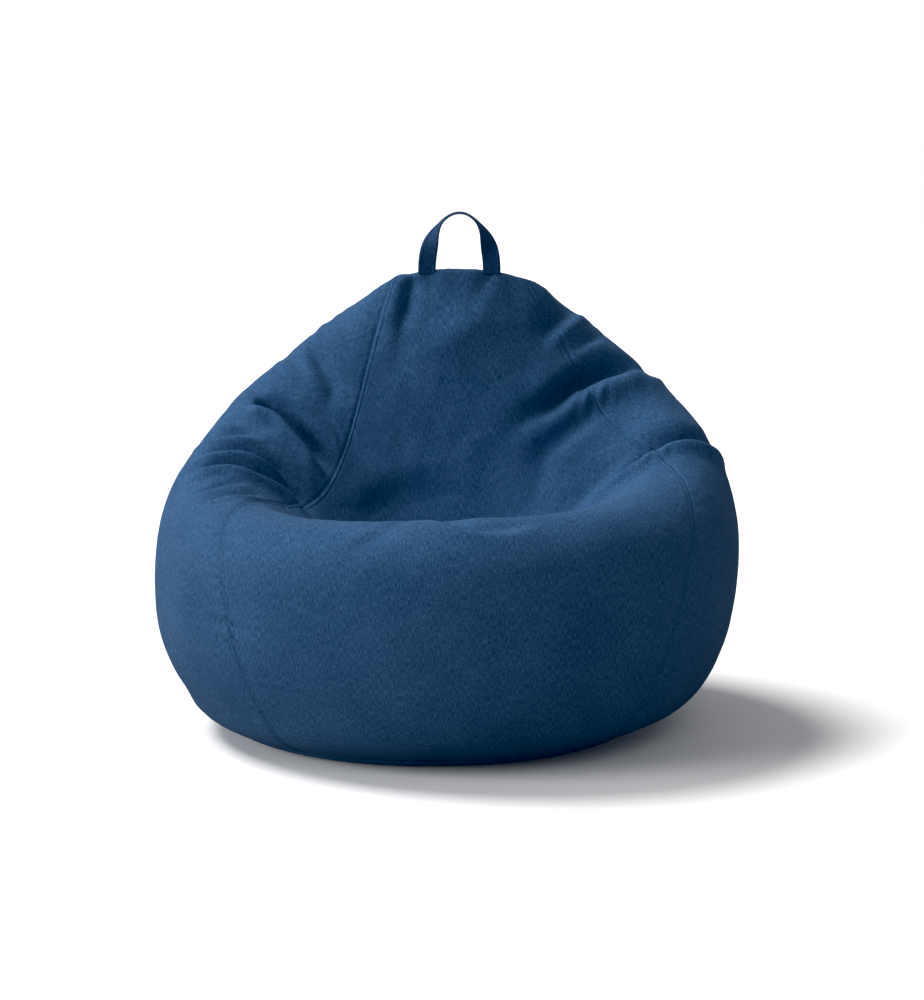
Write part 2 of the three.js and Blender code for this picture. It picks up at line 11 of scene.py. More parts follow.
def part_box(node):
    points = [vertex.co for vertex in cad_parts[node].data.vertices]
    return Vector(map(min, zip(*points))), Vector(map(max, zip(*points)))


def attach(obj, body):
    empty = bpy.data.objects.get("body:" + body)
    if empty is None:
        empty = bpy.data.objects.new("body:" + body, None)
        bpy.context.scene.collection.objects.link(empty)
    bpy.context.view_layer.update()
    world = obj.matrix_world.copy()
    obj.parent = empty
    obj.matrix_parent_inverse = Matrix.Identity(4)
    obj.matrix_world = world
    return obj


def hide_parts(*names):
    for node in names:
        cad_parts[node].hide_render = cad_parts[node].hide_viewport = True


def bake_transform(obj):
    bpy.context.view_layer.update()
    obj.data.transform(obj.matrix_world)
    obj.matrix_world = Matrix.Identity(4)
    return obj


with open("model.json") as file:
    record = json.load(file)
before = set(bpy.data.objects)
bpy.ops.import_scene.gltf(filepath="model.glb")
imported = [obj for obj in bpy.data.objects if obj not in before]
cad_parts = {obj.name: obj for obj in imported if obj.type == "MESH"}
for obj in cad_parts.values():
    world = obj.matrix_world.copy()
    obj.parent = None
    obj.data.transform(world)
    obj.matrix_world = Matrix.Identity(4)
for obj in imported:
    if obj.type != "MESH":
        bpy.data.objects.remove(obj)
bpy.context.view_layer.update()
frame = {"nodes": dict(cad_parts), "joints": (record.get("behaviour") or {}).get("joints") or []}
joints = {joint["name"]: joint for joint in frame["joints"]}


# Camera, light and floor

view = dict(distance=3.6, elevation=10.0, aimHeight=0.3, lens=88.4, shift=(0.019, 0.0225))
light = dict(keyFrom=(-1.3, 0.4, 2.2), keyPower=3.5, sideFrom=(-2.5, -1.0, 0.95), sidePower=2.2, softness=27,
             frontFrom=(0.5, -1.7, 1.5), frontPower=0.3, worldStrength=0.27, backdrop=1.0, floorBounce=0.3,
             blackLevel=(0.008, 0.003, -0.006))


def placeObject(name, data):
    placed = bpy.data.objects.new(name, data)
    bpy.context.collection.objects.link(placed)
    return placed


def newPiece(name, bm):
    mesh = bpy.data.meshes.new(name)
    bm.to_mesh(mesh)
    bm.free()
    return placeObject(name, mesh)


def makeCamera():
    data = bpy.data.cameras.new("camera")
    data.sensor_fit = "VERTICAL"
    data.sensor_height = 36
    data.lens = view["lens"]
    data.shift_x, data.shift_y = view["shift"]
    camera = placeObject("camera", data)
    rise = math.radians(view["elevation"])
    aim = Vector((0, 0, view["aimHeight"]))
    camera.location = aim + view["distance"] * Vector((0, -math.cos(rise), math.sin(rise)))
    camera.rotation_euler = (aim - camera.location).to_track_quat("-Z", "Y").to_euler()
    bpy.context.scene.camera = camera


def makeSunLight(name, direction, angle, strength):
    data = bpy.data.lights.new(name, "SUN")
    data.energy = strength
    data.angle = math.radians(angle)
    placeObject(name, data).rotation_euler = (-Vector(direction)).to_track_quat("-Z", "Y").to_euler()


def makeWorld():
    world = bpy.data.worlds.new("studioWorld")
    bpy.context.scene.world = world
    world.use_nodes = True
    tree = world.node_tree
    path = newNode(tree, "LightPath", {})
    extra = light["backdrop"] - light["worldStrength"]
    seen = mathNode(tree, "MULTIPLY", path.outputs["Is Camera Ray"], extra)
    strength = mathNode(tree, "ADD", seen, light["worldStrength"])
    feed(tree, tree.nodes["Background"], {"Color": (1, 1, 1, 1), "Strength": strength})


def makeStudio():
    for place in ("key", "side", "front"):
        makeSunLight(place + "Light", light[place + "From"], light["softness"], light[place + "Power"])
    makeWorld()
    bm = bmesh.new()
    bmesh.ops.create_grid(bm, x_segments=1, y_segments=1, size=14)
    floor = newPiece("floor", bm)
    floor.data.materials.append(floorMaterial())
    settings = bpy.context.scene.view_settings
    settings.view_transform = "Standard"
    settings.use_curve_mapping = True
    settings.curve_mapping.black_level = light["blackLevel"]


# Shader nodes, groups and materials

def newGroup(name, inputs, outputs):
    group = bpy.data.node_groups.new(name, "ShaderNodeTree")
    for socket, kind, value in inputs:
        made = group.interface.new_socket(socket, in_out="INPUT", socket_type=kind)
        if value is not None:
            made.default_value = value
    for socket, kind in outputs:
        group.interface.new_socket(socket, in_out="OUTPUT", socket_type=kind)
    source = group.nodes.new("NodeGroupInput")
    sink = group.nodes.new("NodeGroupOutput")
    return group, source, sink


def newNode(tree, kind, inputs, **settings):
    node = tree.nodes.new("ShaderNode" + kind)
    for name, value in settings.items():
        setattr(node, name, value)
    feed(tree, node, inputs)
    return node


def feed(tree, node, inputs):
    # Links a node's sockets to other sockets, or sets them to plain values.
    for socket, value in inputs.items():
        if isinstance(value, bpy.types.NodeSocket):
            tree.links.new(value, node.inputs[socket])
        elif value is not None:
            node.inputs[socket].default_value = value


def mathNode(tree, operation, first, second=None, third=None):
    return newNode(tree, "Math", {0: first, 1: second, 2: third}, operation=operation).outputs[0]


def mixColour(tree, factor, first, second):
    return newNode(tree, "Mix", {0: factor, 6: first, 7: second}, data_type="RGBA").outputs[2]


def noiseNode(tree, vector, scale, detail=2.0, roughness=0.5):
    inputs = {"Vector": vector, "Scale": scale, "Detail": detail, "Roughness": roughness}
    return newNode(tree, "TexNoise", inputs).outputs["Fac"]


def scaled(tree, vector, factors):
    return newNode(tree, "Mapping", {"Vector": vector, "Scale": factors}).outputs[0]


def rangeNode(tree, value, low, high, newLow=0.0, newHigh=1.0):
    inputs = {"Value": value, "From Min": low, "From Max": high, "To Min": newLow, "To Max": newHigh}
    return newNode(tree, "MapRange", inputs, interpolation_type="SMOOTHSTEP").outputs[0]


def makeWeaveGroup():
    # A plain weave of warp and weft threads, high where a thread passes over.
    group, source, sink = newGroup("plainWeave", [("Vector", "NodeSocketVector", None),
                                                  ("Threads per metre", "NodeSocketFloat", 1100.0)],
                                   [("Height", "NodeSocketFloat"), ("Gap", "NodeSocketFloat")])
    wobble = newNode(group, "TexNoise", {"Vector": source.outputs[0], "Scale": 60.0, "Detail": 1.0})
    bent = newNode(group, "VectorMath", {0: wobble.outputs["Color"], 1: (0.0016, 0.0016, 0),
                                         2: source.outputs[0]}, operation="MULTIPLY_ADD")
    split = newNode(group, "SeparateXYZ", {0: bent.outputs[0]})
    turns = mathNode(group, "MULTIPLY", source.outputs[1], math.pi)
    across = mathNode(group, "SINE", mathNode(group, "MULTIPLY", split.outputs[0], turns))
    along = mathNode(group, "SINE", mathNode(group, "MULTIPLY", split.outputs[1], turns))
    threads = mathNode(group, "ADD", mathNode(group, "ABSOLUTE", across), mathNode(group, "ABSOLUTE", along))
    over = mathNode(group, "MULTIPLY", across, along)
    height = mathNode(group, "MULTIPLY_ADD", over, 0.35, mathNode(group, "MULTIPLY", threads, 0.4))
    # Gap is high where the threads part; the woven cloth uses it to paint shade there.
    gap = rangeNode(group, threads, 0.15, 0.9, 1.0, 0.0)
    feed(group, sink, {0: height, 1: gap})
    return group


def makeMelangeGroup():
    # Yarn spun from light and dark fibres: long upright slubs, short cross ones, and flecks.
    inputs = [(tone, "NodeSocketColor", None) for tone in ("Light", "Middle", "Dark")]
    inputs = [("Vector", "NodeSocketVector", None), *inputs, ("Slub", "NodeSocketFloat", 1.0)]
    group, source, sink = newGroup("melangeYarn", inputs, [("Color", "NodeSocketColor"),
                                                           ("Height", "NodeSocketFloat")])
    vector = source.outputs[0]
    warp = noiseNode(group, scaled(group, vector, (900, 120, 1)), 1.0, 3.0, 0.65)
    weft = noiseNode(group, scaled(group, vector, (170, 900, 1)), 1.0, 3.0, 0.65)
    fleck = noiseNode(group, scaled(group, vector, (620, 420, 1)), 1.0, 2.0, 0.7)
    cloud = noiseNode(group, vector, 14.0, 3.0, 0.55)
    slubs = mathNode(group, "MULTIPLY_ADD", warp, 0.6, mathNode(group, "MULTIPLY", weft, 0.4))
    slubs = mathNode(group, "MULTIPLY_ADD", mathNode(group, "SUBTRACT", cloud, 0.5), 0.12, slubs)
    lit = mathNode(group, "MULTIPLY", rangeNode(group, slubs, 0.48, 0.64), source.outputs[4])
    shaded = mathNode(group, "MULTIPLY", rangeNode(group, slubs, 0.49, 0.36), source.outputs[4])
    colour = mixColour(group, lit, source.outputs[2], source.outputs[1])
    colour = mixColour(group, shaded, colour, source.outputs[3])
    colour = mixColour(group, rangeNode(group, fleck, 0.60, 0.72, 0.0, 0.55), colour, source.outputs[1])
    colour = mixColour(group, rangeNode(group, fleck, 0.40, 0.29, 0.0, 0.5), colour, source.outputs[3])
    feed(group, sink, {0: colour, 1: slubs})
    return group


groups = {}


def placeGroup(tree, name, inputs):
    return newNode(tree, "Group", inputs, node_tree=groups[name])


def newMaterial(name):
    material = bpy.data.materials.new(name)
    material.use_nodes = True
    tree = material.node_tree
    return material, tree, tree.nodes["Principled BSDF"]


def surfaceVector(tree, uv=None):
    if uv:
        return newNode(tree, "UVMap", {}, uv_map=uv).outputs[0]
    return newNode(tree, "TexCoord", {}).outputs["Object"]


def bumpInto(tree, shader, height, strength, distance):
    bump = newNode(tree, "Bump", {"Strength": strength, "Distance": distance, "Height": height})
    feed(tree, shader, {"Normal": bump.outputs[0]})


def wovenMaterial(name, light, middle, dark, uv="cloth", threads=1100.0, slub=1.0, sheen=0.25, bump=0.55):
    material, tree, shader = newMaterial(name)
    vector = surfaceVector(tree, uv)
    yarn = placeGroup(tree, "melangeYarn", {0: vector, 1: (*light, 1), 2: (*middle, 1), 3: (*dark, 1),
                                            4: slub})
    weave = placeGroup(tree, "plainWeave", {0: vector, 1: threads})
    # The gaps between the threads are painted darker: painted shade where the threads part.
    gap = mathNode(tree, "MULTIPLY", weave.outputs["Gap"], 0.35)
    colour = mixColour(tree, gap, yarn.outputs["Color"], (*dark, 1))
    rough = mathNode(tree, "MULTIPLY_ADD", weave.outputs["Height"], -0.12, 0.95)
    feed(tree, shader, {"Base Color": colour, "Roughness": rough, "Specular IOR Level": 0.12,
                        "Sheen Weight": sheen, "Sheen Roughness": 0.45, "Sheen Tint": (0.55, 0.68, 0.85, 1)})
    height = mathNode(tree, "MULTIPLY_ADD", yarn.outputs["Height"], 0.6, weave.outputs["Height"])
    bumpInto(tree, shader, height, bump, 0.0007)
    return material


def floorMaterial():
    material, tree, shader = newMaterial("paleFloor")
    vector = surfaceVector(tree)
    tone = noiseNode(tree, vector, 1.5, 2.0)
    seen = mixColour(tree, tone, (0.95, 0.95, 0.955, 1), (0.98, 0.98, 0.98, 1))
    bounce = (light["floorBounce"],) * 3 + (1,)  # the floor throws back less light than it shows
    path = newNode(tree, "LightPath", {})
    colour = mixColour(tree, path.outputs["Is Camera Ray"], bounce, seen)
    feed(tree, shader, {"Base Color": colour, "Roughness": 0.9, "Specular IOR Level": 0.1})
    return material


def metalMaterial():
    material, tree, shader = newMaterial("zipMetal")
    vector = surfaceVector(tree)
    grain = noiseNode(tree, scaled(tree, vector, (2600, 2600, 300)), 1.0, 3.0)
    worn = noiseNode(tree, vector, 260.0, 2.0)
    tone = mixColour(tree, grain, (0.40, 0.42, 0.45, 1), (0.60, 0.62, 0.64, 1))
    rough = rangeNode(tree, worn, 0.35, 0.65, 0.28, 0.5)
    feed(tree, shader, {"Base Color": tone, "Roughness": rough, "Metallic": 1.0})
    bumpInto(tree, shader, grain, 0.25, 0.0001)
    return material


def nylonMaterial():
    material, tree, shader = newMaterial("zipNylon")
    vector = surfaceVector(tree)
    tone = noiseNode(tree, vector, 900.0, 2.0)
    colour = mixColour(tree, tone, (0.010, 0.026, 0.062, 1), (0.030, 0.060, 0.118, 1))
    feed(tree, shader, {"Base Color": colour, "Roughness": rangeNode(tree, tone, 0.3, 0.7, 0.3, 0.45)})
    bumpInto(tree, shader, tone, 0.2, 0.0001)
    return material


def linerMaterial(name, light, dark):
    material, tree, shader = newMaterial(name)
    vector = surfaceVector(tree)
    fibres = noiseNode(tree, vector, 700.0, 4.0, 0.7)
    dimples = noiseNode(tree, vector, 190.0, 2.0)
    colour = mixColour(tree, fibres, (*dark, 1), (*light, 1))
    feed(tree, shader, {"Base Color": colour, "Roughness": rangeNode(tree, fibres, 0.3, 0.7, 0.8, 0.95)})
    bumpInto(tree, shader, mathNode(tree, "ADD", fibres, dimples), 0.5, 0.0006)
    return material


def beadMaterial():
    material, tree, shader = newMaterial("foamBeads")
    cells = newNode(tree, "TexVoronoi", {"Vector": surfaceVector(tree), "Scale": 240.0})
    # Each bead is painted darker towards its edge: painted shade on its rounded side and where the beads
    # meet. The same mask makes the edges rougher and lower.
    shade = rangeNode(tree, cells.outputs["Distance"], 0.2, 0.7)
    colour = mixColour(tree, shade, (0.93, 0.93, 0.91, 1), (0.62, 0.62, 0.6, 1))
    feed(tree, shader, {"Base Color": colour, "Roughness": rangeNode(tree, shade, 0.0, 1.0, 0.55, 0.8)})
    bumpInto(tree, shader, mathNode(tree, "MULTIPLY", shade, -1.0), 0.8, 0.002)
    return material


materials = {}
yarns = dict(
    cloth=dict(name="blueMelange", light=(0.058, 0.128, 0.245), middle=(0.022, 0.066, 0.146),
               dark=(0.0055, 0.023, 0.064), sheen=0.05),
    strap=dict(name="strapCloth", light=(0.034, 0.082, 0.165), middle=(0.0125, 0.038, 0.090),
               dark=(0.0045, 0.016, 0.044), threads=1300.0, slub=0.8, sheen=0.05),
    thread=dict(name="sewingThread", light=(0.075, 0.155, 0.265), middle=(0.03, 0.082, 0.16),
                dark=(0.012, 0.04, 0.09), uv=None, threads=2400.0, slub=0.5, sheen=0.4),
    tape=dict(name="zipTape", light=(0.035, 0.075, 0.14), middle=(0.014, 0.036, 0.08),
              dark=(0.006, 0.018, 0.045), uv=None, threads=1900.0, slub=0.4),
)


def makeMaterials():
    groups["plainWeave"] = makeWeaveGroup()
    groups["melangeYarn"] = makeMelangeGroup()
    for finish, settings in yarns.items():
        materials[finish] = wovenMaterial(**settings)
    materials["metal"] = metalMaterial()
    materials["nylon"] = nylonMaterial()
    materials["liner"] = linerMaterial("linerFelt", (0.86, 0.87, 0.87), (0.62, 0.64, 0.65))
    materials["label"] = linerMaterial("labelRibbon", (0.86, 0.86, 0.84), (0.74, 0.74, 0.72))
    materials["beads"] = beadMaterial()


# The bag's surface, by azimuth (degrees, 0 at the front) and level (0 base seam, 1 top seam)

bag = dict(
    width=0.85, depth=0.8, height=0.671,
    outline=[(0.34, 0.018), (0.433, 0.083), (0.484, 0.198), (0.5, 0.338), (0.491, 0.478),
             (0.451, 0.606), (0.377, 0.727), (0.27, 0.839), (0.193, 0.934), (0.147, 1.0)],
    contactRadius=0.25, settleLeft=0.11, leanBack=0.118, leanSide=0.024,
    capDepthShare=0.44, capRearShare=0.62, capSquareness=0.6, capDrop=0.018, capRearDrop=0.034, capDome=0.006,
)
seat = dict(middle=(0.004, -0.092), halfWidth=0.43, frontReach=0.334, rearReach=0.225, depth=0.335,
            backThrust=0.033, sideFall=1.9, frontRounding=0.85)
seams = dict(frontLeft=-49.5, frontRight=52.5, rearRight=116.0, back=180.0, rearLeft=-115.0)
seamDrift = dict(left=[11, 9, 2.5, -3.5, -2, 0], right=[-11, -7.5, -1.5, 8, 11, 0], reach=50, on=True)
zipper = dict(bottomLevel=0.14, topLevel=0.57, slotHalf=0.0052)


def smooth(low, high, x):
    t = np.clip((x - low) / (high - low), 0, 1)
    return t * t * (3 - 2 * t)


def splineThrough(points, share):
    # Catmull-Rom through evenly spaced points; share runs from 0 to 1 along the list.
    p = np.asarray(points, float)
    place = np.clip(share, 0, 1) * (len(p) - 1)
    i = np.minimum(place.astype(int), len(p) - 2)
    t = (place - i)[..., None]
    a, b, c, d = p[np.maximum(i - 1, 0)], p[i], p[i + 1], p[np.minimum(i + 2, len(p) - 1)]
    u, v = (c - a) / 2, (d - b) / 2
    return (2 * b - 2 * c + u + v) * t**3 + (3 * c - 3 * b - 2 * u - v) * t**2 + u * t + b


def strayed(azimuth, climb):
    # Azimuths near a front seam move with it.
    moved = azimuth
    for seam, drift in ((seams["frontLeft"], seamDrift["left"]), (seams["frontRight"], seamDrift["right"])):
        curve = splineThrough([(k, value) for k, value in enumerate(drift)], climb)[..., 1]
        away = np.minimum(np.abs(((azimuth - seam + 540) % 360 - 180) / seamDrift["reach"]), 1)
        moved = moved + curve * (1 - away**2) ** 2
    return moved


def fullPoint(azimuth, level):
    climb = np.clip(level, 0, 1)
    a = np.radians(strayed(azimuth, climb) if seamDrift["on"] else azimuth)
    sine, cosine = np.sin(a), np.cos(a)
    spread = np.where(level < 0, 1 + level, np.where(level > 1, 2 - level, 1.0))
    ring = splineThrough(bag["outline"], climb)
    top = smooth(0.6, 1, climb)
    flat = 1 - (1 - np.where(cosine > 0, bag["capDepthShare"], bag["capRearShare"])) * top
    power = 1 + (bag["capSquareness"] - 1) * smooth(0.8, 1, climb)
    square = np.sign(cosine) * np.abs(cosine) ** power
    front = smooth(-0.97, -0.5, cosine)
    settle = 1 + bag["settleLeft"] * np.maximum(0, -sine) * (1 - smooth(0, 0.15, climb))
    radius = ring[..., 0] * bag["width"] * spread * settle
    sag = bag["capDrop"] * np.abs(sine) ** 3 * spread**2 + bag["capRearDrop"] * (1 - cosine * spread) / 2
    z = ring[..., 1] * bag["height"] - sag * smooth(0.75, 1, climb)
    rim = bag["outline"][0]
    contact = bag["contactRadius"] / (rim[0] * bag["width"]) - 1
    z = np.where(level < 0, rim[1] * bag["height"] * np.maximum(0, (level - contact) / -contact) ** 2, z)
    z = np.where(level > 1, z + bag["capDome"] * (1 - spread**2), z)
    x = bag["leanSide"] * smooth(0.15, 0.85, climb) * (1 + (front - 1) * spread) + radius * sine
    y = bag["leanBack"] * smooth(0.42, 1, climb) - radius * bag["depth"] / bag["width"] * flat * square
    return np.stack([x, y, z], -1)


def seatPress(x, y, level):
    across = np.minimum(np.abs(x - seat["middle"][0]) / seat["halfWidth"], 1)
    reach = seat["frontReach"] * np.sqrt(1 - seat["frontRounding"] * across**2)
    along = y - seat["middle"][1]
    along = np.where(along < 0, along / reach, along / seat["rearReach"])
    bell = np.cos(np.clip(np.abs(along), 0, 1) * math.pi / 2) ** 2
    fade = smooth(0.3, 0.5, level) * (1 - 0.9 * smooth(0.8, 1, level))
    return np.cos(across * math.pi / 2) ** seat["sideFall"] * bell * fade


zipCentre = np.array(joints["zip_run"]["pos_m"])
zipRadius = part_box("zip_teeth_left")[1][1] - float(zipCentre[1])  # the teeth are level with the cloth


def bagPoint(azimuth, level):
    azimuth, level = np.broadcast_arrays(np.asarray(azimuth, float), np.asarray(level, float))
    p = fullPoint(azimuth, level)
    turn = np.abs((azimuth + 540) % 360 - 180)
    nearZip = smooth(140, 172, turn) * smooth(0, 0.08, level) * (1 - smooth(0.62, 0.76, level))
    seam = fullPoint(np.full_like(level, 180.0), level)
    rise = np.clip(seam[..., 2] - zipCentre[2], -zipRadius, zipRadius)
    p[..., 1] += nearZip * (zipCentre[1] + np.sqrt(zipRadius**2 - rise**2) - seam[..., 1])
    press = seatPress(p[..., 0], p[..., 1], level)
    p[..., 2] -= seat["depth"] * press
    p[..., 1] += seat["backThrust"] * press
    return p


def unit(v):
    return v / np.maximum(np.linalg.norm(v, axis=-1, keepdims=True), 1e-9)


def bagNormal(azimuth, level):
    step = 0.004
    level = np.clip(level, -1 + 2 * step, 2 - 2 * step)
    around = bagPoint(azimuth + 0.5, level) - bagPoint(azimuth - 0.5, level)
    here = bagPoint(azimuth, level)
    up = unit(bagPoint(azimuth, level + step) - here) + unit(here - bagPoint(azimuth, level - step))
    return unit(np.cross(around, up))


# A fold follows a line of (azimuth, level) places. Its valley is `depth` deep, and `soft` and `steep` are
# the widths of its two sides. The steep side has a lip, `ridge` high and `lip` away. It is on the left of
# the line as seen from outside, or on the right where side is -1. The fold grows and dies away over the
# shares of its line in `fade`.

def fold(line, depth, soft, steep, ridge, lip, fade, side=1):
    return dict(line=line, depth=depth, soft=soft, steep=steep, ridge=ridge, lip=lip, fade=fade, side=side)


folds = dict(
    rightBig=fold([(104, 0.70), (93, 0.735), (82, 0.768), (71, 0.80), (58, 0.825), (46, 0.835),
        (33, 0.845), (19, 0.845)], 0.032, 0.019, 0.009, 0.013, 0.026, fade=(0.4, 0.35)),
    rightWedge=fold([(106, 0.855), (88, 0.885), (69, 0.895), (52, 0.89), (42, 0.88)],
        0.013, 0.026, 0.010, 0.006, 0.016, fade=(0.3, 0.4)),
    rightThird=fold([(98, 0.80), (88, 0.815), (76, 0.838), (62, 0.85)],
        0.005, 0.012, 0.008, 0.002, 0.011, fade=(0.5, 0.4)),
    rightGroove=fold([(74, 0.75), (61, 0.785), (53, 0.80), (46, 0.81), (39, 0.815), (33, 0.805),
        (27, 0.78)], 0.012, 0.020, 0.014, 0.005, 0.026, fade=(0.35, 0.45)),
    rightArm=fold([(97, 0.54), (89, 0.56), (81, 0.59), (75, 0.628), (69, 0.66), (62, 0.683), (54, 0.703),
        (45, 0.72), (36, 0.73), (27, 0.738)],
        0.030, 0.024, 0.0075, 0.012, 0.018, fade=(0.3, 0.3)),
    leftCrease=fold([(-88, 0.69), (-82, 0.715), (-77, 0.733), (-70, 0.747), (-63, 0.76), (-57, 0.767),
        (-52, 0.77)], 0.027, 0.015, 0.0055, 0.011, 0.014, fade=(0.15, 0.3), side=-1),
    leftArc1=fold([(-88, 0.545), (-81, 0.585), (-77, 0.62), (-73, 0.66), (-69, 0.685), (-64, 0.707),
        (-57, 0.725)], 0.017, 0.012, 0.005, 0.007, 0.013, fade=(0.35, 0.2), side=-1),
    leftArc2=fold([(-84, 0.52), (-76, 0.565), (-73, 0.59), (-70, 0.625), (-66, 0.655), (-61, 0.69),
        (-55, 0.715), (-48, 0.72)],
        0.026, 0.017, 0.0065, 0.010, 0.015, fade=(0.3, 0.25), side=-1),
    leftArc3=fold([(-69, 0.53), (-65, 0.56), (-63, 0.60), (-61, 0.65)],
        0.006, 0.009, 0.006, 0.003, 0.009, fade=(0.4, 0.4), side=-1),
    leftArc4=fold([(-63, 0.52), (-60, 0.56), (-57, 0.61), (-56, 0.66)],
        0.006, 0.009, 0.006, 0.003, 0.009, fade=(0.4, 0.4), side=-1),
    leftArc5=fold([(-94, 0.565), (-87, 0.60), (-79, 0.665), (-72, 0.71)],
        0.010, 0.013, 0.007, 0.005, 0.013, fade=(0.35, 0.35), side=-1),
    leftArc6=fold([(-98, 0.60), (-90, 0.635), (-80, 0.685), (-71, 0.725)],
        0.008, 0.013, 0.007, 0.004, 0.012, fade=(0.35, 0.35), side=-1),
    leftShoulder=fold([(-108, 0.765), (-96, 0.785), (-84, 0.80), (-74, 0.81), (-66, 0.815), (-63, 0.79)],
        0.011, 0.018, 0.010, 0.004, 0.017, fade=(0.5, 0.4), side=-1),
    leftNotch=fold([(-110, 0.715), (-100, 0.74), (-89, 0.765), (-77, 0.79)],
        0.005, 0.014, 0.009, 0.002, 0.012, fade=(0.45, 0.4), side=-1),
    leftNotch2=fold([(-104, 0.665), (-95, 0.688), (-88, 0.705), (-80, 0.725)],
        0.005, 0.012, 0.008, 0.002, 0.011, fade=(0.4, 0.4), side=-1),
    backrestLeft=fold([(-31, 0.99), (-33, 0.955), (-33, 0.93), (-34, 0.91), (-33, 0.87)],
        0.010, 0.015, 0.008, 0.005, 0.018, fade=(0.2, 0.5), side=-1),
    backrestMiddle=fold([(-21, 0.995), (-19, 0.965), (-17, 0.93)],
        0.004, 0.012, 0.010, 0.001, 0.015, fade=(0.1, 0.6)),
    backrestRight=fold([(22, 0.995), (19, 0.975), (12, 0.95), (3, 0.925)],
        0.006, 0.013, 0.010, 0.002, 0.016, fade=(0.1, 0.6)),
    backrestBelly=fold([(-30, 0.89), (-14, 0.90), (2, 0.912), (18, 0.926), (32, 0.942)],
        -0.015, 0.040, 0.036, 0, 0.02, fade=(0.45, 0.45)),
    rightSeat=fold([(68, 0.70), (58, 0.725), (47, 0.745), (36, 0.757), (25, 0.765)],
        0.013, 0.024, 0.013, 0.002, 0.020, fade=(0.4, 0.4)),
    seatLeft=fold([(-46, 0.765), (-39, 0.785), (-31, 0.81), (-20, 0.825), (-8, 0.83), (4, 0.825)],
        0.012, 0.030, 0.022, 0.002, 0.035, fade=(0.45, 0.5)),
    frontNotch=fold([(-6, 0.60), (-1, 0.565), (4, 0.535), (11, 0.53), (18, 0.55)],
        0.010, 0.016, 0.010, 0.004, 0.016, fade=(0.4, 0.4), side=-1),
    frontDimple=fold([(-20, 0.455), (-16, 0.49), (-12, 0.53), (-8, 0.56)],
        0.003, 0.016, 0.010, 0.002, 0.016, fade=(0.4, 0.4)),
    rearShoulder=fold([(128, 0.86), (146, 0.84), (164, 0.845), (176, 0.86)],
        0.008, 0.022, 0.012, 0.004, 0.018, fade=(0.35, 0.35)),
    rearLeftFold=fold([(-122, 0.83), (-138, 0.80), (-154, 0.80), (-168, 0.825)],
        0.009, 0.024, 0.012, 0.004, 0.018, fade=(0.35, 0.35), side=-1),
    rearUpper=fold([(-130, 0.93), (-148, 0.905), (-166, 0.90), (178, 0.91)],
        0.005, 0.016, 0.010, 0.003, 0.014, fade=(0.35, 0.35)),
    sideRightLow=fold([(86, 0.73), (100, 0.70), (114, 0.69), (126, 0.70)],
        0.006, 0.018, 0.010, 0.003, 0.015, fade=(0.35, 0.4), side=-1),
)


def foldLine(settings):
    line = np.array(settings["line"], float)
    line[:, 0] = np.degrees(np.unwrap(np.radians(line[:, 0])))
    dense = splineThrough(line, np.linspace(0, 1, 40))
    seamDrift["on"] = False  # folds are placed by plain azimuth
    path = bagPoint(dense[:, 0], dense[:, 1])
    seamDrift["on"] = True
    return path


def foldRelief(points, normals, settings):
    path = foldLine(settings)
    soft, steep, ridge, lip = (settings[key] for key in ("soft", "steep", "ridge", "lip"))
    reach = 3 * max(soft, lip + steep)
    near = np.all((points > path.min(0) - reach) & (points < path.max(0) + reach), axis=1)
    relief = np.zeros(len(points))
    if not near.any():
        return relief
    p, n = points[near], normals[near]
    start, run = path[:-1], path[1:] - path[:-1]
    best = np.full(len(p), 1e9)
    side, share = np.zeros(len(p)), np.zeros(len(p))
    for k in range(len(run)):
        toPoint = p - start[k]
        t = np.clip(toPoint @ run[k] / (run[k] @ run[k]), 0, 1)
        gap = toPoint - t[:, None] * run[k]
        distance = np.linalg.norm(gap, axis=1)
        closer = distance < best
        best[closer] = distance[closer]
        turned = np.einsum("ij,ij->i", np.cross(np.broadcast_to(run[k], gap.shape), gap), n)
        side[closer] = np.sign(turned[closer]) * settings["side"]
        share[closer] = (k + t[closer]) / len(run)
    fadeIn, fadeOut = settings["fade"]
    taper = smooth(0, fadeIn, share) * (1 - smooth(1 - fadeOut, 1, share))
    signed = best * side
    width = np.where(signed > 0, steep, soft)
    valley = -settings["depth"] * np.exp(-((np.abs(signed) / width) ** 1.7))
    crest = ridge * np.exp(-(((signed - lip) / (0.75 * lip)) ** 2))
    backCrest = 0.35 * ridge * np.exp(-((signed / soft + 1.6) ** 2))
    relief[near] = (valley + crest + backCrest) * taper
    return relief


def foldsRelief(points, normals):
    flatPoints, flatNormals = points.reshape(-1, 3), normals.reshape(-1, 3)
    relief = sum(foldRelief(flatPoints, flatNormals, settings) for settings in folds.values())
    return relief.reshape(points.shape[:-1])


def driftNoise(points, size, seed):
    # Smooth noise from -1 to 1 with features about `size` metres across.
    offset = Vector((seed * 3.7, seed * 1.3, seed * 7.1))
    values = [noise.noise(Vector(p) / size + offset) for p in points.reshape(-1, 3)]
    return np.array(values).reshape(points.shape[:-1])


cloth = dict(thickness=0.0015, cell=0.0044, groove=0.0016, grooveWidth=0.0040, balloon=0.002, flange=0.005,
             pucker=0.0021, puckerPitch=0.024, puckerReach=0.026, puckerStart=0.008, wave=0.0032,
             crumple=0.0011, topstitch=0.007)


